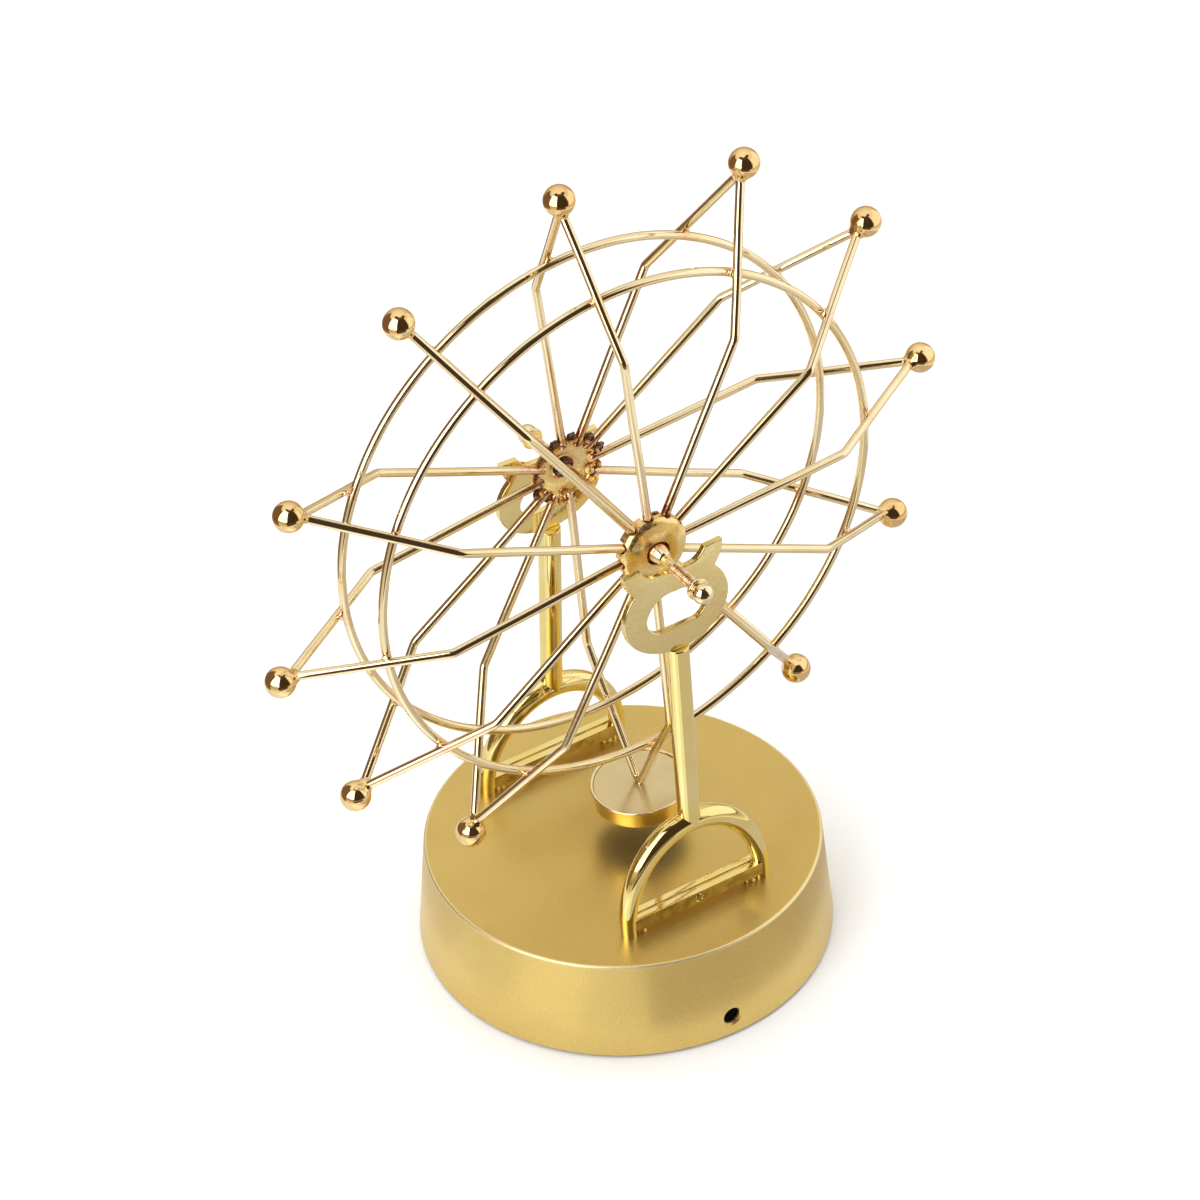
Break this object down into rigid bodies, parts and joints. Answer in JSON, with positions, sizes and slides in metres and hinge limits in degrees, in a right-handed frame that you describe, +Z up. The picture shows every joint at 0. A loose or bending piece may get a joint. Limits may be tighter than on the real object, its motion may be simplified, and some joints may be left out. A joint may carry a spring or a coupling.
{
  "type": "ferris wheel desk toy",
  "caption": "Magnet-driven wire ferris wheel on two bull-head yokes over a round battery base with a drive coil, a hinged battery door and a power socket.",
  "frame": {"origin": "centre of the round base on the table, on the plane that the rubber feet rest on", "axes": "+Z up, Y along the axle with the front support (power socket side) at -Y, X to the right seen from the front"},
  "size_m": [0.2151, 0.1198, 0.2554],
  "materials": {
    "base_lacquer": "satin gold lacquer with a fine grain",
    "black_plastic": "moulded",
    "rubber": "matte",
    "plated_steel": "zinc plated",
    "cell_can": "printed sleeve, plain",
    "copper": "enamelled copper wire",
    "board": "solder mask",
    "components": "moulded",
    "lead_red": "sleeve",
    "lead_black": "sleeve",
    "gold_plate_support": "mirror gold plate",
    "satin_gold_yoke": "satin pale gold face",
    "gold_wire": "mirror gold plate",
    "gold_ball": "mirror gold plate",
    "gold_hub": "gold plate, heat marked at the joints",
    "axle_steel": "gold plated steel",
    "polished_steel": "polished",
    "magnet": "nickel plated"
  },
  "bodies": {
    "base": {"base_shell": "base_lacquer", "bottom_cover": "black_plastic", "rubber_feet": "rubber", "cover_screws": "plated_steel", "battery_cells": "cell_can", "battery_contacts": "plated_steel", "coil_bobbin": "black_plastic", "coil_winding": "copper", "coil_core": "plated_steel", "circuit_board": "board", "board_components": "components", "board_screws": "plated_steel", "power_jack": "black_plastic", "battery_lead_red": "lead_red", "battery_lead_black": "lead_black", "coil_leads": "copper", "jack_leads": "lead_black", "support_screws": "plated_steel", "foot_arch_front": "gold_plate_support", "cross_bar_front": "gold_plate_support", "post_front": "gold_plate_support", "yoke_front": "satin_gold_yoke", "foot_arch_rear": "gold_plate_support", "cross_bar_rear": "gold_plate_support", "post_rear": "gold_plate_support", "yoke_rear": "satin_gold_yoke"},
    "battery_door": {"battery_door": "black_plastic"},
    "wheel": {"axle": "axle_steel", "axle_nuts": "gold_ball", "hub_front": "gold_hub", "hub_rear": "gold_hub", "ring_front": "gold_wire", "ring_rear": "gold_wire", "spoke_01": "gold_wire", "spoke_02": "gold_wire", "spoke_03": "gold_wire", "spoke_04": "gold_wire", "spoke_05": "gold_wire", "spoke_06": "gold_wire", "spoke_07": "gold_wire", "spoke_08": "gold_wire", "spoke_09": "gold_wire", "spoke_10": "gold_wire", "spoke_11": "gold_wire", "spoke_12": "gold_wire", "ball_01": "gold_ball", "ball_02": "gold_ball", "ball_03": "gold_ball", "ball_04": "gold_ball", "ball_05": "gold_ball", "ball_06": "gold_ball", "ball_07": "gold_ball", "ball_09": "gold_ball", "ball_10": "gold_ball", "ball_11": "gold_ball", "ball_12": "gold_ball", "magnet_cup": "gold_ball", "face_plate": "polished_steel", "magnet": "magnet"}
  },
  "joints": [
    {"name": "wheel_spin", "type": "hinge", "parent": "base", "child": "wheel", "pos_m": [0, 0, 0.148], "axis": [0, 1, 0], "continuous": true},
    {"name": "battery_door_hinge", "type": "hinge", "parent": "base", "child": "battery_door", "pos_m": [-0.0277, 0, 0.002], "axis": [0, 1, 0], "range_deg": [0, 95]}
  ]
}
